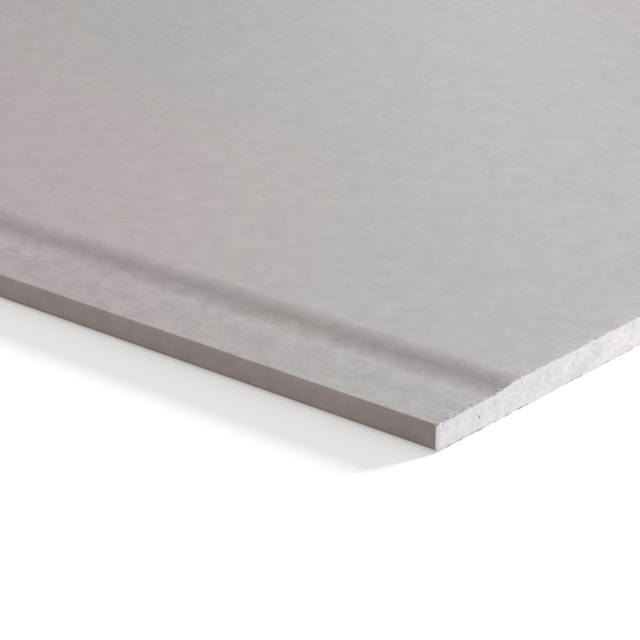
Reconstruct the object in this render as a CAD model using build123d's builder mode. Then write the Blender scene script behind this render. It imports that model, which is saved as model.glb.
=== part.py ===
from build123d import *

import os

# Drywall sheet: a gypsum core wrapped in face paper, with both long edges tapered on the face.
# The sheet lies flat on its back. X runs along its length, Y across its width and +Z out of its face.
# The origin is the middle of the back, on the surface that the sheet lies on.

os.makedirs("parts", exist_ok=True)

# The sheet, in millimetres: a half-inch board of four feet by eight
length = 2438.4
width = 1219.2
thickness = 12.7

# Papers: the back paper laps over the folds of the face paper and stops short of the long edges
face_paper_thickness = 0.4
back_paper_thickness = 0.4
back_paper_margin = 8.0
fold_width = 28.0

# Tapered long edges, from the face outwards: a ramp, then a recess for the joint tape, which is two shelves with
# a faint dip between them
ramp_width = 23.0
ramp_depth = 1.55
inner_shelf_width = 6.5
dip_width = 13.0
dip_depth = 0.15
outer_shelf_width = 10.5
upper_edge_radius = 0.9
lower_edge_radius = 3.0

# Levels above the surface that the sheet lies on
fold_level = back_paper_thickness
inner_shelf_level = thickness - ramp_depth
outer_shelf_level = inner_shelf_level - dip_depth

# Distances from the middle line of the sheet
side = width / 2
dip_foot = side - outer_shelf_width
dip_head = dip_foot - dip_width
ramp_foot = dip_head - inner_shelf_width
ramp_head = ramp_foot - ramp_width

cut_end = Plane.YZ.offset(-length / 2)


def s_curve(head, foot):
    """Two equal arcs, level at both ends, that meet half way down."""
    middle = ((head[0] + foot[0]) / 2, (head[1] + foot[1]) / 2)
    TangentArc(head, middle, tangent=(1, 0))
    TangentArc(foot, middle, tangent=(-1, 0))


# The outside of the wrapped board
with BuildSketch(cut_end) as board_section:
    with BuildLine():
        Line((0, thickness), (ramp_head, thickness))
        s_curve((ramp_head, thickness), (ramp_foot, inner_shelf_level))
        Line((ramp_foot, inner_shelf_level), (dip_head, inner_shelf_level))
        s_curve((dip_head, inner_shelf_level), (dip_foot, outer_shelf_level))
        Polyline((dip_foot, outer_shelf_level), (side, outer_shelf_level), (side, fold_level), (0, fold_level))
        mirror(about=Plane.YZ)
    make_face()
    for corner, radius in ((0, lower_edge_radius), (-1, upper_edge_radius)):
        left_side, *_, right_side = board_section.vertices().group_by(Axis.X)
        fillet([left_side.sort_by(Axis.Y)[corner], right_side.sort_by(Axis.Y)[corner]], radius)

# The core fills the face paper, and between its folds comes down to the back paper.
with BuildSketch(cut_end) as core_section:
    add(board_section.sketch_local)
    offset(amount=-face_paper_thickness, kind=Kind.INTERSECTION)
    with Locations((0, fold_level)):
        Rectangle(2 * (side - fold_width), face_paper_thickness, align=(Align.CENTER, Align.MIN))

with BuildPart() as gypsum_core:
    with BuildSketch(cut_end):
        add(core_section.sketch_local)
    extrude(amount=length)

with BuildPart() as face_paper:
    with BuildSketch(cut_end):
        add(board_section.sketch_local)
        add(core_section.sketch_local, mode=Mode.SUBTRACT)
    extrude(amount=length)

with BuildPart() as back_paper:
    with BuildSketch(cut_end):
        Rectangle(2 * (side - back_paper_margin), back_paper_thickness, align=(Align.CENTER, Align.MIN))
    extrude(amount=length)

gypsum_core.part.label = "gypsum_core"
face_paper.part.label = "face_paper"
back_paper.part.label = "back_paper"

export_step(gypsum_core.part, "parts/gypsum_core.step")
export_step(face_paper.part, "parts/face_paper.step")
export_step(back_paper.part, "parts/back_paper.step")
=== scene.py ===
"""A drywall sheet lying on its back: a white core with sawn ends, grey face paper that wraps both tapered
long edges, and a brown back liner."""

import math

import bpy
import numpy as np
from mathutils import Matrix, Vector


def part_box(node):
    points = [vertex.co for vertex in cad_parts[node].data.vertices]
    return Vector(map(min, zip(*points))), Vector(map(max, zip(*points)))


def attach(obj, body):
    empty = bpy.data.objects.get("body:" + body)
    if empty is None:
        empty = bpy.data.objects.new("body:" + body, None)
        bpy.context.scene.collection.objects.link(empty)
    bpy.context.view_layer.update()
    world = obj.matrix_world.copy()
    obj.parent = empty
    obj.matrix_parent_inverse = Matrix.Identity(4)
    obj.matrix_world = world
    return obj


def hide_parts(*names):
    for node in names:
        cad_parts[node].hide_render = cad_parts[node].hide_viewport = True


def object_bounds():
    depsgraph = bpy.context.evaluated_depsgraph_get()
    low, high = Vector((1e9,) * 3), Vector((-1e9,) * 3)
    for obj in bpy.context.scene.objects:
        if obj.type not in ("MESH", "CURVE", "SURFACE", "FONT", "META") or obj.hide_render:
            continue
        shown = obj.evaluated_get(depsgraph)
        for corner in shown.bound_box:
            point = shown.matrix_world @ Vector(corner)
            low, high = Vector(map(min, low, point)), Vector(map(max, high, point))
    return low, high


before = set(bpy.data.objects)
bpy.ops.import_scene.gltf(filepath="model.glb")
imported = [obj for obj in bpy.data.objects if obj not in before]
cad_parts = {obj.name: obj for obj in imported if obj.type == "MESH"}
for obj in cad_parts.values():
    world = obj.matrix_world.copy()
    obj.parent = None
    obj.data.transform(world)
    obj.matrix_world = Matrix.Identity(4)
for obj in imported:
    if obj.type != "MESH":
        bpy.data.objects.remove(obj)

MM = 0.001
CAD_LOW, CAD_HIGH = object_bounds()

# The sheet, read from its solids, in metres from its middle
CORE_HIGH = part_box("gypsum_core")[1]
WRAP_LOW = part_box("face_paper")[0]
LINER_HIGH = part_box("back_paper")[1]
HALF_LENGTH = CAD_HIGH.x
SIDE = CAD_HIGH.y
TOP = CAD_HIGH.z
FACE_PLY = TOP - CORE_HIGH.z
FOLD_LEVEL = WRAP_LOW.z
LINER_SIDE = LINER_HIGH.y

# The tapered long edge, from the face outwards: a ramp, a shelf, a faint dip and a last shelf
RAMP_WIDTH = 23 * MM
RAMP_DEPTH = 1.55 * MM
INNER_SHELF_WIDTH = 6.5 * MM
DIP_WIDTH = 13 * MM
DIP_DEPTH = 0.15 * MM
OUTER_SHELF_WIDTH = 10.5 * MM
UPPER_EDGE_RADIUS = 0.9 * MM
LOWER_EDGE_RADIUS = 3 * MM
FOLD_WIDTH = 28 * MM
SHELF_LEVEL = TOP - RAMP_DEPTH - DIP_DEPTH
DIP_HEAD = SIDE - OUTER_SHELF_WIDTH - DIP_WIDTH
RAMP_HEAD = DIP_HEAD - INNER_SHELF_WIDTH - RAMP_WIDTH

# Spacing of the surfaces' points across the sheet: fine beside the corner that the camera is close to
FINE_STEP = 0.3 * MM
COARSE_STEP = 1.3 * MM
FINE_SPAN = 110 * MM
# Edges that turn more than this many degrees stay sharp
SHARP_ANGLE = 50
# How many random values a noise has before it repeats, along a line and both ways over a plane
LINE_VALUES = 4096
PLANE_VALUES = (2048, 64)


def smoothstep(part):
    """Eases a share from 0 to 1: its square times three less twice the share."""
    return part * part * (3 - 2 * part)


def smooth_noise(along, spacing, seed):
    """Noise from -1 to 1 along a line: random values at every spacing, joined by a smoothstep."""
    values = np.random.default_rng(seed).uniform(-1, 1, LINE_VALUES)
    place = along / spacing
    cell = np.floor(place).astype(int)
    low, high = values[cell % LINE_VALUES], values[(cell + 1) % LINE_VALUES]
    return low + (high - low) * smoothstep(place - cell)


def cloudy_noise(across, up, spacing, seed):
    """Noise from -1 to 1 over a plane: random values on a square lattice, joined by smoothsteps both ways."""
    columns, rows = PLANE_VALUES
    values = np.random.default_rng(seed).uniform(-1, 1, (columns, rows))
    column, row = np.floor(across / spacing).astype(int), np.floor(up / spacing).astype(int)
    part, rise = smoothstep(across / spacing - column), smoothstep(up / spacing - row)

    def at(i, j):
        return values[(column + i) % columns, (row + j) % rows]

    low = at(0, 0) + (at(1, 0) - at(0, 0)) * part
    high = at(0, 1) + (at(1, 1) - at(0, 1)) * part
    return low + (high - low) * rise


# How much the share of bubbles swells and shrinks along a sawn end, and over which distance
CLUSTER_SWELL = 0.8
CLUSTER_SPACING = 38 * MM


def air_bubbles(across, up, cell, share, smallest, largest, seed):
    """Depth of the round pits that cut bubbles leave: a share of the square cells holds one bubble, with a
    random centre and radius, and a point's depth is that of the deepest ball over it, the square root of r
    squared less d squared. The share swells and shrinks along the end, so the bubbles come in clusters."""
    rng = np.random.default_rng(seed)
    columns, rows = PLANE_VALUES
    swell = 1 + CLUSTER_SWELL * smooth_noise(np.arange(columns) * cell, CLUSTER_SPACING, seed + 9)
    here = rng.uniform(size=(columns, rows)) < share * swell[:, None]
    centre_across, centre_up = rng.uniform(0.1, 0.9, (2, columns, rows))
    radii = smallest + (largest - smallest) * rng.uniform(size=(columns, rows)) ** 2
    column, row = np.floor(across / cell).astype(int), np.floor(up / cell).astype(int)
    depth = np.zeros(np.broadcast(across, up).shape)
    for i in (-1, 0, 1):
        for j in (-1, 0, 1):
            pick = ((column + i) % columns, (row + j) % rows)
            gap_across = across - (column + i + centre_across[pick]) * cell
            gap_up = up - (row + j + centre_up[pick]) * cell
            ball = radii[pick] ** 2 - gap_across**2 - gap_up**2
            depth = np.maximum(depth, np.sqrt(np.maximum(ball, 0)) * here[pick])
    return depth


def arc(centre, radius, start, end, steps):
    """Points of a circular arc between two angles in degrees, each with the unit normal away from the centre.
    The first point is left to the run before."""
    angle = np.radians(np.linspace(start, end, steps + 1)[1:])
    normal = np.stack([np.cos(angle), np.sin(angle)], 1)
    return np.hstack([np.array(centre) + radius * normal, normal])


def run(start, end, step, normal):
    """Points of a straight run, about a step apart, with one normal. The first point is left to the run
    before."""
    start, end = np.array(start), np.array(end)
    steps = max(1, round(float(np.linalg.norm(end - start)) / step))
    share = np.linspace(0, 1, steps + 1)[1:, None]
    return np.hstack([start + (end - start) * share, np.broadcast_to(normal, (steps, 2))])


def s_curve(across, start, width):
    """Share of an S of two equal arcs that lies behind a point, and its slope in shares per metre: twice the
    square of t up to the middle, and its mirror image from there on."""
    t = np.clip((across - start) / width, 0, 1)
    share = np.where(t < 0.5, 2 * t * t, 1 - 2 * (1 - t) ** 2)
    slope = 4 * np.minimum(t, 1 - t) / width
    return share, slope


def taper(start, end, step):
    """Points from the face over the ramp and the shelves: the face's level less two S curves, the ramp and
    the faint dip, with the normal square to the sum of their slopes."""
    steps = round((end - start) / step)
    across = np.linspace(start, end, steps + 1)[1:]
    ramp, ramp_slope = s_curve(across, RAMP_HEAD, RAMP_WIDTH)
    dip, dip_slope = s_curve(across, DIP_HEAD, DIP_WIDTH)
    up = TOP - RAMP_DEPTH * ramp - DIP_DEPTH * dip
    fall = RAMP_DEPTH * ramp_slope + DIP_DEPTH * dip_slope
    size = np.sqrt(1 + fall**2)
    return np.stack([across, up, fall / size, 1 / size], 1)


def half_outline(step):
    """The wrapped board's outside from the middle of the face to the end of the fold, on the positive side:
    flat face, taper, upper corner, side, lower corner and fold. Rows of y, z, normal y and normal z."""
    low_centre = (SIDE - LOWER_EDGE_RADIUS, FOLD_LEVEL + LOWER_EDGE_RADIUS)
    high_centre = (SIDE - UPPER_EDGE_RADIUS, SHELF_LEVEL - UPPER_EDGE_RADIUS)
    fine_from = RAMP_HEAD - FINE_SPAN
    return np.vstack([
        [(0, TOP, 0, 1)],
        run((0, TOP), (fine_from, TOP), COARSE_STEP, (0, 1)),
        run((fine_from, TOP), (RAMP_HEAD, TOP), step, (0, 1)),
        taper(RAMP_HEAD, high_centre[0], step),
        arc(high_centre, UPPER_EDGE_RADIUS, 90, 0, steps=8),
        run((SIDE, high_centre[1]), (SIDE, low_centre[1]), FINE_STEP, (1, 0)),
        arc(low_centre, LOWER_EDGE_RADIUS, 0, -90, steps=12),
        run((low_centre[0], FOLD_LEVEL), (SIDE - FOLD_WIDTH, FOLD_LEVEL), step * 2, (0, -1)),
    ])


def wrap_outline():
    """The whole outside, from the fold on the negative side over the face to the other fold: the half outline
    and its mirror image. Returns y, z, normal y and normal z."""
    near = half_outline(FINE_STEP)[::-1] * (-1, 1, -1, 1)
    return np.vstack([near, half_outline(COARSE_STEP)[1:]]).T


def path_length(across, up):
    """Distance along an outline from its first point."""
    return np.concatenate([[0], np.cumsum(np.hypot(np.diff(across), np.diff(up)))])


# Size and spacing of the torn edge's teeth, waves and nicks
TEETH, TEETH_SPACING = 0.6 * MM, 0.9 * MM
WAVES, WAVE_SPACING = 0.8 * MM, 2.7 * MM
NICKS, NICK_SPACING = 1.3 * MM, 1.7 * MM
# How far the smoothest edge stands back, and over which distance the tears grow and shrink
LEAST_BACK = 0.05 * MM
UNEVEN_SPACING = 19 * MM


def above(value, level):
    """Nought up to a level, and from there a straight rise to one."""
    return np.clip(value - level, 0, 1) / (1 - level)


def torn_edge(along, rough, seed):
    """How far a paper's sawn edge stands back from the end of the sheet: fine teeth, wider waves and narrow
    nicks, all of them larger where the paper is rough."""
    teeth = TEETH * np.abs(smooth_noise(along, TEETH_SPACING, seed))
    waves = WAVES * np.abs(smooth_noise(along, WAVE_SPACING, seed + 1))
    nicks = NICKS * above(smooth_noise(along, NICK_SPACING, seed + 3), 0.5)
    uneven = 0.8 + 0.3 * smooth_noise(along, UNEVEN_SPACING, seed + 2)
    return LEAST_BACK + rough * uneven * (teeth + waves + nicks)


def grid_faces(rows, columns):
    """Corner numbers of the quads of a grid whose points are numbered row by row."""
    corner = (np.arange(rows - 1)[:, None] * columns + np.arange(columns - 1)).ravel()
    return np.stack([corner, corner + 1, corner + columns + 1, corner + columns], 1)


# Boxes of the bake map that a shell's outer grid, inner grid and border strips fill: low corner, high corner
OUTER_BOX = (0.002, 0.002, 0.998, 0.93)
INNER_BOX = (0.002, 0.94, 0.998, 0.965)
STRIP_BOX = (0.002, 0.975, 0.998, 0.995)


def into_box(share, box):
    """Moves shares from 0 to 1 into a box of the bake map: its low corner plus the share of its size."""
    low, high = np.array(box[:2]), np.array(box[2:])
    return low + share * (high - low)


def shell(outer, inner, along_share, across_share):
    """A closed shell between two grids of points of one size: both grids, the inner one turned over, and a
    strip along each of the four borders. Returns its points, its quads, their corners' places on the bake
    map, and one for each quad of a strip and nought for the others."""
    rows, columns = outer.shape[:2]
    second = rows * columns
    skins = grid_faces(rows, columns)
    number = np.arange(second).reshape(rows, columns)
    border = np.concatenate([number[0, :-1], number[:-1, -1], number[-1, :0:-1], number[:0:-1, 0]])
    onward = np.roll(border, -1)
    strip = np.stack([onward, border, border + second, onward + second], 1)
    points = np.concatenate([outer.reshape(-1, 3), inner.reshape(-1, 3)])
    quads = np.concatenate([skins, skins[:, ::-1] + second, strip])
    share = np.stack(np.meshgrid(along_share, across_share, indexing="ij"), -1).reshape(-1, 2)
    here = np.arange(len(border)) / len(border)
    there = here + 1 / len(border)
    low, high = np.zeros_like(here), np.ones_like(here)
    ribbon = np.stack([[there, low], [here, low], [here, high], [there, high]]).transpose(2, 0, 1)
    places = np.concatenate([
        into_box(share[skins], OUTER_BOX),
        into_box(share[skins[:, ::-1]], INNER_BOX),
        into_box(ribbon, STRIP_BOX),
    ])
    return points, quads, places, np.repeat([0.0, 1.0], [2 * len(skins), len(strip)])


def make_mesh(name, points, faces, places, material, point_values=None, face_values=None):
    """One object at the origin from whole arrays, smooth but for its sharp corners. Places are each face
    corner's place on the bake map, and the values become attributes of points or faces."""
    mesh = bpy.data.meshes.new(name)
    mesh.from_pydata(points.tolist(), [], faces)
    mesh.uv_layers.new(name="OFBake").data.foreach_set("uv", np.asarray(places, np.float32).ravel())
    for domain, values in (("POINT", point_values or {}), ("FACE", face_values or {})):
        for label, numbers in values.items():
            layer = mesh.attributes.new(label, "FLOAT", domain)
            layer.data.foreach_set("value", np.asarray(numbers, np.float32).ravel())
    mesh.materials.append(material)
    mesh.shade_smooth()
    mesh.set_sharp_from_angle(angle=math.radians(SHARP_ANGLE))
    made = bpy.data.objects.new(name, mesh)
    bpy.context.scene.collection.objects.link(made)
    return made


# Distances in from a sawn end at which the papers have a row of points
PAPER_ROWS = np.array([0, 0.3, 0.7, 1.4, 3, 8, 30, 110, 400]) * MM
ALONG_SHARE = np.concatenate([PAPER_ROWS, 2 * HALF_LENGTH - PAPER_ROWS[::-1]]) / (2 * HALF_LENGTH)
# Size and spacing of the feathering that slopes a torn edge, and of the burr and the tufts that lift it
FEATHER, FEATHER_SPACING = 0.25 * MM, 1.5 * MM
BURR, BURR_SPACING = 0.15 * MM, 1.9 * MM
TUFTS, TUFT_SPACING = 0.4 * MM, 0.8 * MM
# Distances in from the edge over which the tears and the lift die away
TEAR_FADE = 4 * MM
LIFT_FADE = 0.7 * MM


def paper_grids(across, up, normal_across, normal_up, ply, rough, seed):
    """Outer and inner points of a paper: its outline carried along the sheet. At each end the rows follow the
    torn edge, less and less with their distance, and the last millimetre lifts in a burr with narrow tufts.
    The inner points reach a little further than the outer ones, so the torn edge slopes."""
    along = path_length(across, up)
    outer, inner = [], []
    for end, distances in ((-1, PAPER_ROWS), (1, PAPER_ROWS[::-1])):
        torn = torn_edge(along, rough, seed + 10 * end)
        feather = FEATHER * rough * np.abs(smooth_noise(along, FEATHER_SPACING, seed + 7 + end))
        burr = BURR * above(smooth_noise(along, BURR_SPACING, seed + 5 + end), 0)
        tufts = TUFTS * above(smooth_noise(along, TUFT_SPACING, seed + 8 + end), 0.3)
        burr = (burr + tufts) * rough * np.clip(normal_up, 0, 1)
        for distance in distances:
            fade = math.exp(-distance / TEAR_FADE)
            lift = burr * math.exp(-distance / LIFT_FADE)
            for grid, offset, back in ((outer, lift, torn + feather), (inner, lift - ply, torn)):
                x = end * (HALF_LENGTH - distance - back * fade)
                grid.append(np.stack([x, across + normal_across * offset, up + normal_up * offset], 1))
    return np.array(outer), np.array(inner)


# How rough a paper's sawn edge is: on the face, what the ramp adds to that, on the long sides and the back
FACE_ROUGH = 0.45
RAMP_ROUGH = 0.55
SIDE_ROUGH = 0.2
LINER_ROUGH = 0.8


def face_paper(material):
    """The face paper: the wrapped outline carried along the sheet, as a closed shell one ply thick. Its edge
    wrap value is nought on the face, rises round the upper corner, and is one from there to the fold."""
    across, up, normal_across, normal_up = wrap_outline()
    down_ramp = np.clip((np.abs(across) - RAMP_HEAD) / RAMP_WIDTH, 0, 1)
    rough = np.where(normal_up > 0.5, FACE_ROUGH + RAMP_ROUGH * down_ramp**2, SIDE_ROUGH)
    outer, inner = paper_grids(across, up, normal_across, normal_up, FACE_PLY, rough, seed=11)
    along = path_length(across, up)
    points, quads, places, cut = shell(outer, inner, ALONG_SHARE, along / along[-1])
    corner = np.clip((np.abs(across) - SIDE + UPPER_EDGE_RADIUS) / UPPER_EDGE_RADIUS, 0, 1)
    edge_wrap = np.where(up > SHELF_LEVEL - UPPER_EDGE_RADIUS, corner, 1)
    wrap_values = {"edge_wrap": np.tile(edge_wrap, 2 * len(ALONG_SHARE))}
    faces, places = quads[:, ::-1].tolist(), places[:, ::-1]
    return make_mesh("paper_face_wrap", points, faces, places, material, wrap_values, {"cut_ply": cut})


def back_paper(material):
    """The back liner: a flat sheet, one ply thick, that stops short of both long edges."""
    fine = np.arange(-LINER_SIDE, -LINER_SIDE + FINE_SPAN, FINE_STEP)
    across = np.concatenate([fine, np.linspace(-LINER_SIDE + FINE_SPAN, LINER_SIDE, 800)])
    flat = np.zeros_like(across)
    outer, inner = paper_grids(across, flat, flat, flat - 1, LINER_HIGH.z, LINER_ROUGH, seed=57)
    points, quads, places, _ = shell(outer, inner, ALONG_SHARE, (across / LINER_SIDE + 1) / 2)
    return make_mesh("paper_back_liner", points, quads.tolist(), places, material)


# Rows of points up the two sawn ends, the one beside the camera first, and the strips that each end is cut
# into on the bake map
END_ROWS = (34, 20)
END_STRIPS = 6
# Distances in from a sawn end at which the core has a row of points across its underside and its top
CORE_ROWS = np.array([1.3, 4, 40]) * MM


def core_outlines():
    """Lower and upper outline of the core, one ply inside the wrapped outline, as heights over one set of
    y."""
    across, up, normal_across, normal_up = wrap_outline()
    inner_y, inner_z = across - normal_across * FACE_PLY, up - normal_up * FACE_PLY
    upper = (normal_up > -1e-9) & (up > SHELF_LEVEL - UPPER_EDGE_RADIUS - 1e-7)
    y, place = np.unique(np.round(inner_y[upper], 7), return_index=True)
    high = inner_z[upper][place]
    reach = LOWER_EDGE_RADIUS - FACE_PLY
    over = np.clip(np.abs(y) - (SIDE - LOWER_EDGE_RADIUS), 0, reach)
    low = FOLD_LEVEL + LOWER_EDGE_RADIUS - np.sqrt(reach**2 - over**2)
    low[np.abs(y) < SIDE - FOLD_WIDTH] = FOLD_LEVEL
    return y, low, high


# Cut air bubbles of two sizes: the cells that can hold one, the share that does, smallest and largest radius
LARGE_BUBBLES = (6.3 * MM, 0.14, 0.35 * MM, 0.75 * MM)
SMALL_BUBBLES = (1.9 * MM, 0.22, 0.2 * MM, 0.42 * MM)
# A pit's share of its ball's depth, because powder fills it, and the depth at which its painted shade is
# darkest
PIT_SHARE = 0.5
PORE_SHADE_DEPTH = 0.4 * MM
# Depth and spacing of the fine and of the coarse grain, and the squeeze of their coordinates across the
# sheet, which draws the grain out that way
FINE_GRAIN, FINE_GRAIN_SPACING = 0.058 * MM, 1.0 * MM
COARSE_GRAIN, COARSE_GRAIN_SPACING = 0.055 * MM, 3.1 * MM
GRAIN_SQUEEZE = 0.6
# Depth of the crumbs lost from the upper and the lower arris, their spacing and that of the patches they come
# in, and how far from the arris they reach
UPPER_CRUMBS = 0.15 * MM
LOWER_CRUMBS = 0.7 * MM
CRUMB_SPACING = 1.6 * MM
CRUMB_PATCHES = 17 * MM
CRUMB_REACH = 0.5 * MM


def sawn_relief(across, up, low, high, seed):
    """Depth of the sawn end below its plane, and how deep its pores are from 0 to 1, which the core's
    material paints as shade: cut bubbles of two sizes, the grain of broken crystal, and crumbled arrises."""
    pores = air_bubbles(across, up, *LARGE_BUBBLES, seed)
    pores = np.maximum(pores, air_bubbles(across, up, *SMALL_BUBBLES, seed + 1))
    drawn_out = across * GRAIN_SQUEEZE
    grain = FINE_GRAIN * np.abs(cloudy_noise(drawn_out, up, FINE_GRAIN_SPACING, seed + 2))
    grain += COARSE_GRAIN * np.abs(cloudy_noise(drawn_out, up, COARSE_GRAIN_SPACING, seed + 3))
    to_arris = np.minimum(high - up, up - low)
    crumble = np.clip(cloudy_noise(across, up, CRUMB_SPACING, seed + 4), 0, 1)
    crumble *= 0.5 + 0.5 * smooth_noise(across, CRUMB_PATCHES, seed + 5)
    crumbs = np.where(high - up < up - low, UPPER_CRUMBS, LOWER_CRUMBS)
    arris = crumbs * crumble * np.exp(-to_arris / CRUMB_REACH)
    return pores * PIT_SHARE + grain + arris, np.clip(pores / PORE_SHADE_DEPTH, 0, 1)


def gypsum_slab(material):
    """The core: rows of points that run along the underside, up one sawn end, back along the top and down the
    other end, joined in a ring. Each row crosses the sheet, and the long sides are closed by one flat face
    each."""
    y, low, high = core_outlines()
    stations = np.concatenate([-HALF_LENGTH + CORE_ROWS, [0], HALF_LENGTH - CORE_ROWS[::-1]])
    rows, marks, lanes = [], [], []
    for lane, (end, level, count) in enumerate(((1, low, END_ROWS[0]), (-1, high, END_ROWS[1]))):
        for x in stations * end:
            rows.append(np.stack([np.full_like(y, x), y, level], 1))
            marks.append(np.zeros_like(y))
        share = np.linspace(0, 1, count)[::end, None]
        heights = low + (high - low) * share
        relief, pores = sawn_relief(np.broadcast_to(y, heights.shape), heights, low, high, seed=80 + end)
        for depth, height, pore in zip(relief, heights, pores):
            rows.append(np.stack([end * (HALF_LENGTH - depth), y, height], 1))
            marks.append(pore)
        lanes.append(np.stack([np.linspace(0, 1, len(stations)), np.full(len(stations), 2 + lane)], 1))
        lanes.append(np.stack([share.ravel(), np.full(count, lane)], 1))
    points = np.array(rows)
    count, columns = points.shape[:2]
    ring = np.arange(count + 1) % count
    step = np.arange(columns - 1)
    first, second = ring[:-1, None] * columns + step, ring[1:, None] * columns + step
    quads = np.stack([first, first + 1, second + 1, second], -1).reshape(-1, 4)
    side = np.arange(count) * columns
    sides = (side, (side + columns - 1)[::-1])
    faces = quads.tolist() + [corners.tolist() for corners in sides]
    places = slab_places(quads, np.concatenate(lanes), points, sides)
    return make_mesh("gypsum_slab", points.reshape(-1, 3), faces, places, material, {"pore": np.array(marks)})


# Heights on the slab's bake map: what the strips of both sawn ends fill, and for the lanes of the other rows
# and those of the two long sides, where the first starts, how far apart they are and how tall each is
STRIPS_TALL = 0.92
LANE_FROM, LANE_PITCH, LANE_TALL = 0.925, 0.018, 0.014
SIDE_FROM, SIDE_PITCH, SIDE_TALL = 0.981, 0.009, 0.007


def slab_places(quads, lanes, points, sides):
    """The slab's places on the bake map. A quad of a sawn end goes into one of that end's strips, which lie
    one above the other, and each of them holds its share of the width. Any other face goes into a narrow
    lane."""
    columns = points.shape[1]
    row, column = quads // columns, quads % columns
    y = points[0, :, 1]
    across = (y[column] - y[0]) / (y[-1] - y[0])
    lane = lanes[row, 1]
    same = np.ptp(lane, axis=1) == 0
    sawn = (lane < 1.5).all(1) & same
    strip = np.minimum((across.min(1) * END_STRIPS).astype(int), END_STRIPS - 1)[:, None]
    over = np.clip(across * END_STRIPS - strip, -0.02, 1.02)
    tall = STRIPS_TALL / (2 * END_STRIPS)
    level = (strip + lane * END_STRIPS + 0.06 + 0.88 * lanes[row, 0]) * tall
    ends = np.stack([0.03 + 0.94 * over, level + 0.002], -1)
    kind = np.where(same, lane.max(1) - 2, 2)[:, None]
    along = np.where(kind == 2, lane > 1.5, lanes[row, 0])
    level = LANE_FROM + LANE_PITCH * kind + LANE_TALL * along
    skins = np.stack([0.01 + 0.98 * across, level], -1)
    places = np.where(sawn[:, None, None], ends, skins).reshape(-1, 2)
    flat = points.reshape(-1, 3)
    for number, corners in enumerate(sides):
        x, z = flat[corners, 0] / HALF_LENGTH, flat[corners, 2] / TOP
        level = SIDE_FROM + SIDE_PITCH * number + SIDE_TALL * z
        places = np.concatenate([places, np.stack([0.01 + 0.49 * (x + 1), level], 1)])
    return places


def fill_in(tree, made, inputs):
    """Fills a shader node's inputs: a socket is linked, and a plain value is written."""
    for label, value in inputs.items():
        if isinstance(value, bpy.types.NodeSocket):
            tree.links.new(value, made.inputs[label])
        else:
            made.inputs[label].default_value = value
    return made.outputs


def put(tree, kind, inputs, output=0, **settings):
    """Adds a shader node, writes its settings, fills its inputs and returns one of its outputs."""
    made = tree.nodes.new("ShaderNode" + kind)
    for label, value in settings.items():
        setattr(made, label, value)
    return fill_in(tree, made, inputs)[output]


def sums(tree, operation, first, second=0.0):
    """One step of arithmetic on values."""
    return put(tree, "Math", {0: first, 1: second}, operation=operation)


def between(tree, value, low, high, to_low=0.0, to_high=1.0):
    """The value moved from one range to another by a smoothstep, and held at its ends."""
    inputs = {"Value": value, "From Min": low, "From Max": high, "To Min": to_low, "To Max": to_high}
    return put(tree, "MapRange", inputs, interpolation_type="SMOOTHSTEP")


def blend(tree, share, first, second):
    """A colour between two colours."""
    first, second = ((*colour, 1) if isinstance(colour, tuple) else colour for colour in (first, second))
    return put(tree, "Mix", {"Factor": share, "A": first, "B": second}, "Result", data_type="RGBA")


def shaded(tree, colour, value):
    """A colour times a value."""
    grey = put(tree, "CombineColor", {"Red": value, "Green": value, "Blue": value})
    inputs = {"Factor": 1.0, "A": colour, "B": grey}
    return put(tree, "Mix", inputs, "Result", data_type="RGBA", blend_type="MULTIPLY")


def noise(tree, where, per_metre, detail=2.0, roughness=0.5, distortion=0.0):
    """Blender's cloud noise, from 0 to 1."""
    inputs = {"Vector": where, "Scale": per_metre, "Detail": detail}
    return put(tree, "TexNoise", inputs | {"Roughness": roughness, "Distortion": distortion})


def new_group(name, inputs, outputs):
    """An empty node group with named inputs, each with its usual value, and named outputs. A vector input
    has no value. Returns the tree and its two ends."""
    tree = bpy.data.node_groups.new(name, "ShaderNodeTree")
    for label, value in inputs.items():
        kind = "NodeSocketVector" if value is None else "NodeSocketFloat"
        socket = tree.interface.new_socket(label, in_out="INPUT", socket_type=kind)
        if value is not None:
            socket.default_value = value
    for label in outputs:
        tree.interface.new_socket(label, in_out="OUTPUT", socket_type="NodeSocketFloat")
    return tree, tree.nodes.new("NodeGroupInput").outputs, tree.nodes.new("NodeGroupOutput").inputs


def use_group(tree, group, inputs):
    """Places a node group in a material and returns its outputs."""
    made = tree.nodes.new("ShaderNodeGroup")
    made.node_tree = group
    return fill_in(tree, made, inputs)


def paper_fibres():
    """Pulp: soft clouds where the sheet formed thicker or thinner, and short fibres, the ridges of a bent
    noise. Shade is about one, and Height, mostly fibres, is about nought."""
    spacings = {"Clouds per metre": 130.0, "Fibres per metre": 700.0}
    inputs = {"Vector": None} | spacings | {"Clouds": 0.2, "Fibres": 0.06}
    tree, given, out = new_group("paper_fibres", inputs, ("Shade", "Height"))
    clouds = noise(tree, given["Vector"], given["Clouds per metre"], 4, 0.66)
    clouds = sums(tree, "MULTIPLY", sums(tree, "SUBTRACT", clouds, 0.5), given["Clouds"])
    bent = noise(tree, given["Vector"], given["Fibres per metre"], 2, 0.55, 1.6)
    ridge = sums(tree, "ABSOLUTE", sums(tree, "SUBTRACT", bent, 0.5))
    ridge = sums(tree, "MULTIPLY", between(tree, ridge, 0, 0.12, 0.5, -0.2), given["Fibres"])
    tree.links.new(sums(tree, "ADD", sums(tree, "ADD", clouds, ridge), 1), out["Shade"])
    tree.links.new(sums(tree, "ADD", sums(tree, "MULTIPLY", clouds, 0.05), ridge), out["Height"])
    return tree


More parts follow.
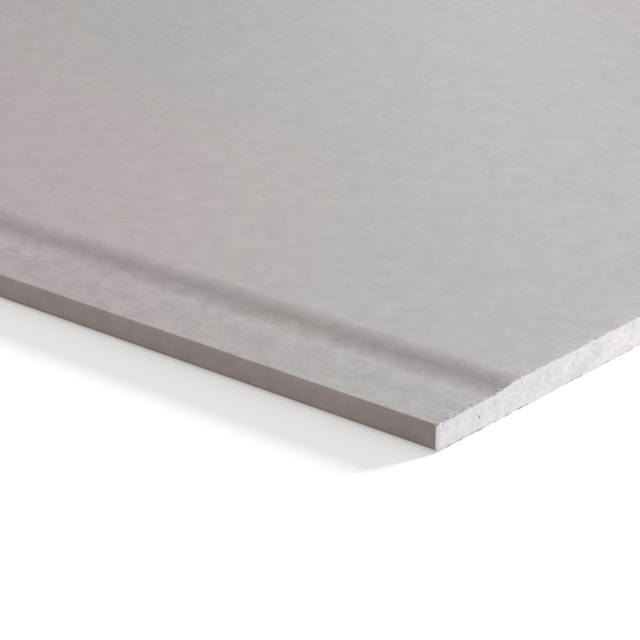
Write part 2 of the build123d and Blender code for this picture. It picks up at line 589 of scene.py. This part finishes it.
def gypsum_powder():
    """White powder from the saw: patches that thin out with the distance from a sawn end."""
    inputs = {"Vector": None, "From end": 0.0, "Reach": 0.03, "Amount": 0.2, "Patches per metre": 230.0}
    tree, given, out = new_group("gypsum_powder", inputs, ("Mask",))
    near = sums(tree, "SUBTRACT", 1, sums(tree, "DIVIDE", given["From end"], given["Reach"]))
    near = sums(tree, "MAXIMUM", near, 0)
    near = sums(tree, "MULTIPLY", near, near)
    patches = between(tree, noise(tree, given["Vector"], given["Patches per metre"], 4, 0.7), 0.42, 0.66)
    mask = sums(tree, "MULTIPLY", sums(tree, "MULTIPLY", near, patches), given["Amount"])
    tree.links.new(mask, out["Mask"])
    return tree


def broken_grain():
    """The broken crystal of the core: fine mottling, a broad one and small round pores. Shade is about one,
    Broad and Pores are masks, and Height is about nought and lower in the pores."""
    inputs = {"Vector": None, "Mottling": 0.34, "Broad mottling": 0.85, "Pores per metre": 700.0}
    tree, given, out = new_group("broken_grain", inputs, ("Shade", "Broad", "Pores", "Height"))
    fine = sums(tree, "SUBTRACT", noise(tree, given["Vector"], 450, 3, 0.75), 0.5)
    broad_noise = noise(tree, given["Vector"], 140, 3, 0.6)
    broad = sums(tree, "SUBTRACT", broad_noise, 0.5)
    mottle = sums(tree, "ADD", fine, sums(tree, "MULTIPLY", broad, given["Broad mottling"]))
    mottle = sums(tree, "MULTIPLY", mottle, given["Mottling"])
    cell_inputs = {"Vector": given["Vector"], "Scale": given["Pores per metre"]}
    to_centre = put(tree, "TexVoronoi", cell_inputs, "Distance")
    radius = between(tree, noise(tree, given["Vector"], 260, 2, 0.6), 0.45, 0.72, 0.0, 0.4)
    pores = between(tree, sums(tree, "SUBTRACT", radius, to_centre), 0.0, 0.12)
    tree.links.new(sums(tree, "ADD", mottle, 1), out["Shade"])
    tree.links.new(between(tree, broad_noise, 0.35, 0.65), out["Broad"])
    tree.links.new(pores, out["Pores"])
    tree.links.new(sums(tree, "SUBTRACT", mottle, pores), out["Height"])
    return tree


def new_material(name, roughness, gloss):
    """A matt material. Returns it with its tree, its shader's inputs and its Object coordinates."""
    material = bpy.data.materials.new(name)
    material.use_nodes = True
    tree = material.node_tree
    shader = tree.nodes["Principled BSDF"].inputs
    shader["Roughness"].default_value = roughness
    shader["Specular IOR Level"].default_value = gloss
    return material, tree, shader, put(tree, "TexCoord", {}, "Object")


def attribute(tree, name):
    """A value that the mesh holds."""
    return put(tree, "Attribute", {}, "Fac", attribute_name=name)


def bumped(tree, height, distance, shader):
    """Lets a height over the surface tilt its light and shade."""
    tree.links.new(put(tree, "Bump", {"Height": height, "Distance": distance}), shader["Normal"])


def across_from_middle(tree, where):
    """Distance from the sheet's middle line, across the sheet."""
    return sums(tree, "ABSOLUTE", put(tree, "SeparateXYZ", {"Vector": where}, "Y"))


def from_end(tree, where):
    """Distance from the nearer sawn end, along the sheet."""
    x = put(tree, "SeparateXYZ", {"Vector": where}, "X")
    return sums(tree, "SUBTRACT", HALF_LENGTH, sums(tree, "ABSOLUTE", x))


def link_roughness(tree, shader, where, per_metre, detail, low, high):
    """Lets the roughness wander between two values in soft patches."""
    patches = noise(tree, where, per_metre, detail, 0.6)
    tree.links.new(between(tree, patches, 0.3, 0.7, low, high), shader["Roughness"])


FACE_GREY = (0.449, 0.446, 0.438)
FACE_PINK = (0.485, 0.441, 0.445)
EDGE_GREY = (0.507, 0.438, 0.415)
FRAY_AND_SHADOW_GREY = (0.26, 0.245, 0.235)
CUT_GREY = (0.60, 0.585, 0.575)
CUT_CREAM = (0.68, 0.63, 0.60)
POWDER_WHITE = (0.74, 0.735, 0.74)
# Slice of the cloud noise that the paper's slow change of tone is taken from, how many clouds a metre has,
# and the distances from the sawn end between which the change comes in
TONE_SLICE = 17.48
TONE_CLOUDS = 1.7
TONE_FROM = 0.85
TONE_WHOLE = 0.4
# How far from the sawn ends the long sides are darkened by painted shade, and how much
END_SHADE_REACH = 50 * MM
END_SHADE_DEPTH = 0.2
# Strength of the pulp's clouds and fibres on the face, and what the taper adds to them
FACE_CLOUDS, TAPER_CLOUDS = 0.3, 0.19
FACE_FIBRES, TAPER_FIBRES = 0.032, 0.07
# Depth of the fibres' bump, and of one that strengthens the shade of the ramp
PULP_RELIEF = 0.25 * MM
RAMP_RELIEF = 0.85 * MM


def grey_face_paper(fibres, powder):
    """Light grey paper with a touch of pink, which fades out in patches towards one end, and mostly stays on
    the ramp. In the taper it is more uneven and a little darker towards the long edges, and round the long
    edges it is browner, with painted shade that darkens the long sides towards the sawn ends. At the sawn
    ends it is powdered, and mostly in the taper it has dark smudges that are partly frayed fibres and partly
    painted shadow of the lifted fuzz. Its cut edge is grey on the face and cream on the long sides."""
    material, tree, shader, where = new_material("grey_face_paper", 0.96, 0.03)
    aside, inward = across_from_middle(tree, where), from_end(tree, where)
    fall = between(tree, aside, RAMP_HEAD, RAMP_HEAD + RAMP_WIDTH)
    edgeward = between(tree, aside, RAMP_HEAD, SIDE)
    wrap = attribute(tree, "edge_wrap")
    on_face = sums(tree, "SUBTRACT", 1, wrap)
    uneven = sums(tree, "MULTIPLY", fall, on_face)
    clouds = sums(tree, "ADD", FACE_CLOUDS, sums(tree, "MULTIPLY", uneven, TAPER_CLOUDS))
    ridges = sums(tree, "ADD", FACE_FIBRES, sums(tree, "MULTIPLY", uneven, TAPER_FIBRES))
    pulp = use_group(tree, fibres, {"Vector": where, "Clouds": clouds, "Fibres": ridges})
    slice_place = put(tree, "Mapping", {"Vector": where, "Location": (0, 0, TONE_SLICE)})
    drift = between(tree, noise(tree, slice_place, TONE_CLOUDS, 1), 0.4, 0.53, 1, 0)
    along = put(tree, "SeparateXYZ", {"Vector": where}, "X")
    one_end = between(tree, along, HALF_LENGTH - TONE_FROM, HALF_LENGTH - TONE_WHOLE)
    drift = sums(tree, "MULTIPLY", drift, one_end)
    off_ramp = sums(tree, "ABSOLUTE", sums(tree, "SUBTRACT", aside, RAMP_HEAD + RAMP_WIDTH / 2))
    drift = sums(tree, "MULTIPLY", drift, between(tree, off_ramp, 0.2 * RAMP_WIDTH, 0.7 * RAMP_WIDTH, 0.4, 1))
    colour = blend(tree, drift, FACE_PINK, FACE_GREY)
    colour = blend(tree, wrap, colour, EDGE_GREY)
    # A little darker across the taper towards the long edges
    shade = sums(tree, "SUBTRACT", pulp["Shade"], sums(tree, "MULTIPLY", edgeward, 0.05))
    colour = shaded(tree, colour, shade)
    dust = use_group(tree, powder, {"Vector": where, "From end": inward})
    colour = blend(tree, sums(tree, "MULTIPLY", dust["Mask"], on_face), colour, POWDER_WHITE)
    # Painted shade: the long sides darken towards the sawn ends, with a little more in the last millimetre
    # and a half
    near_end_shade = sums(tree, "SUBTRACT", 1, sums(tree, "DIVIDE", inward, END_SHADE_REACH))
    near_end_shade = sums(tree, "POWER", sums(tree, "MAXIMUM", near_end_shade, 0), 2)
    painted_end_shade = sums(tree, "MULTIPLY", near_end_shade, END_SHADE_DEPTH)
    painted_end_shade = sums(tree, "ADD", painted_end_shade, between(tree, inward, 0.4 * MM, 1.4 * MM, 0.08, 0))
    colour = shaded(tree, colour, sums(tree, "SUBTRACT", 1, sums(tree, "MULTIPLY", painted_end_shade, wrap)))
    # Dark smudges near the torn edge of the face: partly frayed fibres and partly painted shadow of the
    # lifted fuzz
    fray_and_shadow = sums(tree, "ADD", 0.2, sums(tree, "MULTIPLY", uneven, 0.8))
    fray_and_shadow = sums(tree, "MULTIPLY", fray_and_shadow, between(tree, inward, 0.6 * MM, 2.6 * MM, 1, 0))
    fray_and_shadow = sums(tree, "MULTIPLY", fray_and_shadow, on_face)
    smudges = between(tree, noise(tree, where, 620, 2, 0.6), 0.5, 0.62)
    colour = blend(tree, sums(tree, "MULTIPLY", fray_and_shadow, smudges), colour, FRAY_AND_SHADOW_GREY)
    specks = {"Vector": where, "From end": inward, "Reach": 4 * MM, "Amount": 0.5, "Patches per metre": 800.0}
    specks = sums(tree, "MULTIPLY", use_group(tree, powder, specks)["Mask"], on_face)
    colour = blend(tree, specks, colour, POWDER_WHITE)
    cut = blend(tree, wrap, CUT_GREY, CUT_CREAM)
    colour = blend(tree, attribute(tree, "cut_ply"), colour, cut)
    tree.links.new(colour, shader["Base Color"])
    link_roughness(tree, shader, where, 300, 3, 0.93, 0.99)
    deeper = sums(tree, "MULTIPLY", fall, RAMP_RELIEF / PULP_RELIEF)
    bumped(tree, sums(tree, "SUBTRACT", pulp["Height"], deeper), PULP_RELIEF, shader)
    return material


LINER_BROWN = (0.37, 0.315, 0.265)
LINER_DARK = (0.33, 0.285, 0.245)
LINER_RELIEF = 0.3 * MM


def brown_back_paper(fibres, powder):
    """Coarser brown paper, powdered at the sawn ends."""
    material, tree, shader, where = new_material("brown_back_paper", 0.96, 0.06)
    amounts = {"Clouds per metre": 110.0, "Fibres per metre": 300.0, "Clouds": 0.2, "Fibres": 0.12}
    pulp = use_group(tree, fibres, {"Vector": where} | amounts)
    colour = blend(tree, between(tree, noise(tree, where, 12, 3, 0.6), 0.35, 0.65), LINER_BROWN, LINER_DARK)
    colour = shaded(tree, colour, pulp["Shade"])
    dust = use_group(tree, powder, {"Vector": where, "From end": from_end(tree, where), "Amount": 0.35})
    colour = blend(tree, dust["Mask"], colour, POWDER_WHITE)
    tree.links.new(colour, shader["Base Color"])
    link_roughness(tree, shader, where, 60, 3, 0.92, 0.99)
    bumped(tree, pulp["Height"], LINER_RELIEF, shader)
    return material


GYPSUM_WHITE = (0.754, 0.739, 0.784)
GYPSUM_CREAM = (0.764, 0.744, 0.751)
# Grey of the painted shade in the pores and in the groove inside the rim
GYPSUM_SHADE_GREY = (0.56, 0.55, 0.555)
HARD_EDGE = (0.68, 0.645, 0.625)
# Width of the hard rim, how far its line wavers, and how far in from the long sides the core is more even
HARD_EDGE_WIDTH = 1.7 * MM
LINE_WAVER = 3 * MM
EVEN_REACH = 110 * MM
GRAIN_RELIEF = 0.06 * MM


def gypsum(grain):
    """White core with pores darkened by painted shade, a little darker and more even towards the long sides.
    Along them is a denser cream rim with a thin wavering grey line inside, the painted shade of a fine
    groove."""
    material, tree, shader, where = new_material("gypsum", 0.95, 0.1)
    drawn_out = put(tree, "Mapping", {"Vector": where, "Scale": (1, GRAIN_SQUEEZE, 1)})
    inward = sums(tree, "SUBTRACT", SIDE, across_from_middle(tree, where))
    patchy = between(tree, inward, 0, EVEN_REACH, 0.45, 1.2)
    broken = use_group(tree, grain, {"Vector": drawn_out, "Broad mottling": patchy})
    shade = sums(tree, "MULTIPLY", broken["Shade"], between(tree, inward, 0, EVEN_REACH, 0.97, 1.015))
    colour = shaded(tree, blend(tree, broken["Broad"], GYPSUM_WHITE, GYPSUM_CREAM), shade)
    waver = sums(tree, "SUBTRACT", noise(tree, where, 260, 3, 0.6), 0.5)
    inward = sums(tree, "ADD", inward, sums(tree, "MULTIPLY", waver, LINE_WAVER))
    rim = between(tree, inward, HARD_EDGE_WIDTH, HARD_EDGE_WIDTH + 0.5 * MM, 1.0, 0.0)
    colour = blend(tree, rim, colour, HARD_EDGE)
    # Painted shade of a fine groove: a thin wavering grey line just inside the rim
    off_line = sums(tree, "ABSOLUTE", sums(tree, "SUBTRACT", inward, HARD_EDGE_WIDTH + 0.3 * MM))
    colour = blend(tree, between(tree, off_line, 0.0, 0.5 * MM, 0.6, 0.0), colour, GYPSUM_SHADE_GREY)
    # Painted shade in the pores: deeper pits are painted darker
    painted_pore_shade = sums(tree, "MAXIMUM", sums(tree, "MULTIPLY", broken["Pores"], 0.8), attribute(tree, "pore"))
    colour = blend(tree, sums(tree, "MULTIPLY", painted_pore_shade, 0.6), colour, GYPSUM_SHADE_GREY)
    tree.links.new(colour, shader["Base Color"])
    link_roughness(tree, shader, where, 400, 2, 0.9, 0.99)
    bumped(tree, broken["Height"], GRAIN_RELIEF, shader)
    return material


def seen(tree):
    """One where a ray comes from the camera, a reflection or a clear piece, and nought for light that
    falls."""
    path = tree.nodes.new("ShaderNodeLightPath").outputs
    mirrored = sums(tree, "MAXIMUM", path["Is Glossy Ray"], path["Is Transmission Ray"])
    return sums(tree, "MAXIMUM", path["Is Camera Ray"], mirrored)


FLOOR_COLOUR = (0.80, 0.80, 0.80)
FLOOR_LIFT = (0.4, 0.4, 0.4)
FLOOR_REACH = 80.0
FLOOR_DROP = 0.15 * MM


def make_floor():
    """A wide pale floor just under the sheet. To the camera it is lifted to white, and it keeps the
    shadow."""
    mesh = bpy.data.meshes.new("floor")
    ways = ((-1, -1), (1, -1), (1, 1), (-1, 1))
    corners = [(x * FLOOR_REACH, y * FLOOR_REACH, -FLOOR_DROP) for x, y in ways]
    mesh.from_pydata(corners, [], [(0, 1, 2, 3)])
    floor = bpy.data.objects.new("floor", mesh)
    bpy.context.scene.collection.objects.link(floor)
    material, tree, shader, _ = new_material("pale_floor", 1, 0)
    shader["Base Color"].default_value = (*FLOOR_COLOUR, 1)
    shader["Emission Strength"].default_value = 1
    tree.links.new(blend(tree, seen(tree), (0, 0, 0), FLOOR_LIFT), shader["Emission Color"])
    mesh.materials.append(material)


# The light: a low soft key from behind and to the right, a low spot from the left that lifts the face beside
# the near corner, and a fill. The spot's aim is measured from that corner, and its own place from its aim.
KEY_FROM = Vector((0.95, 3.1, 1.0))
KEY_LEVEL = 0.408
KEY_ANGLE = 14
SPOT_AIM = Vector((0.017, 0.132, 0))
SPOT_FROM = Vector((-3.299, 3.663, 0.663))
SPOT_LEVEL = 0.239
SPOT_CONE = 4.58
SPOT_RADIUS = 0.15
FILL_LEVEL = 0.488
FILL_COLOUR = (1.03, 1.0, 0.985)


def make_light():
    """The key is a soft sun, so that the floor is lit evenly as far as any view reaches, and the fill is the
    world. A level is the share of white that the lamp alone would give a white face."""
    key = bpy.data.lights.new("key", "SUN")
    key.energy = KEY_LEVEL * math.pi / KEY_FROM.normalized().z
    key.angle = math.radians(KEY_ANGLE)
    spot = bpy.data.lights.new("low_spot", "SPOT")
    aim = Vector((HALF_LENGTH, -SIDE, TOP)) + SPOT_AIM
    away = SPOT_FROM.length
    spot.energy = SPOT_LEVEL * 4 * math.pi**2 * away**3 / SPOT_FROM.z
    spot.spot_size = math.radians(SPOT_CONE)
    spot.spot_blend = 1
    spot.shadow_soft_size = SPOT_RADIUS
    for lamp, place, way in ((key, Vector(), -KEY_FROM), (spot, aim + SPOT_FROM, -SPOT_FROM)):
        holder = bpy.data.objects.new(lamp.name, lamp)
        holder.location = place
        holder.rotation_euler = way.to_track_quat("-Z", "Y").to_euler()
        bpy.context.scene.collection.objects.link(holder)
    world = bpy.data.worlds.new("studio")
    bpy.context.scene.world = world
    world.use_nodes = True
    tree = world.node_tree
    fill = tuple(FILL_LEVEL * tint for tint in FILL_COLOUR)
    tree.links.new(blend(tree, seen(tree), fill, (1, 1, 1)), tree.nodes["Background"].inputs["Color"])


# The camera, close to the sheet's near corner. Pixels are those of a picture of 640 by 640.
PICTURE = 640
SENSOR_WIDTH = 36
CAMERA_LENS = 137.1
CAMERA_AZIMUTH = 38.99
CAMERA_ELEVATION = 22.04
CAMERA_ROLL = 1.08
CORNER_DISTANCE = 0.8498
CORNER_PIXEL = (435.0, 454.5)


def make_camera():
    """Places the camera so that the foot of the near corner falls on its pixel, at its distance into the
    view."""
    data = bpy.data.cameras.new("camera")
    data.lens = CAMERA_LENS
    data.sensor_width = SENSOR_WIDTH
    data.clip_start = 0.01
    data.clip_end = 300
    camera = bpy.data.objects.new("camera", data)
    bpy.context.scene.collection.objects.link(camera)
    bpy.context.scene.camera = camera
    azimuth, elevation = math.radians(CAMERA_AZIMUTH), math.radians(CAMERA_ELEVATION)
    forward = Vector((
        -math.sin(azimuth) * math.cos(elevation),
        math.cos(azimuth) * math.cos(elevation),
        -math.sin(elevation),
    ))
    level = Vector((math.cos(azimuth), math.sin(azimuth), 0))
    right = Matrix.Rotation(-math.radians(CAMERA_ROLL), 3, forward) @ level
    up = right.cross(forward)
    pixels = PICTURE * CAMERA_LENS / SENSOR_WIDTH
    aside = (CORNER_PIXEL[0] - PICTURE / 2) / pixels * CORNER_DISTANCE
    below = (CORNER_PIXEL[1] - PICTURE / 2) / pixels * CORNER_DISTANCE
    corner = Vector((HALF_LENGTH, -SIDE, 0))
    camera.location = corner - forward * CORNER_DISTANCE - right * aside + up * below
    camera.rotation_euler = Matrix((right, up, -forward)).transposed().to_euler()


def make_sheet():
    """Makes the three pieces, ties each to its body and hides its solid."""
    fibres, powder = paper_fibres(), gypsum_powder()
    dressed = (
        (face_paper(grey_face_paper(fibres, powder)), "face_paper", "grey_face_paper"),
        (back_paper(brown_back_paper(fibres, powder)), "back_paper", "brown_back_paper"),
        (gypsum_slab(gypsum(broken_grain())), "gypsum_core", "gypsum"),
    )
    for piece, node, slot in dressed:
        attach(piece, "root")
        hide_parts(node)


make_sheet()
make_floor()
make_light()
make_camera()

bpy.context.scene.view_settings.view_transform = "Standard"
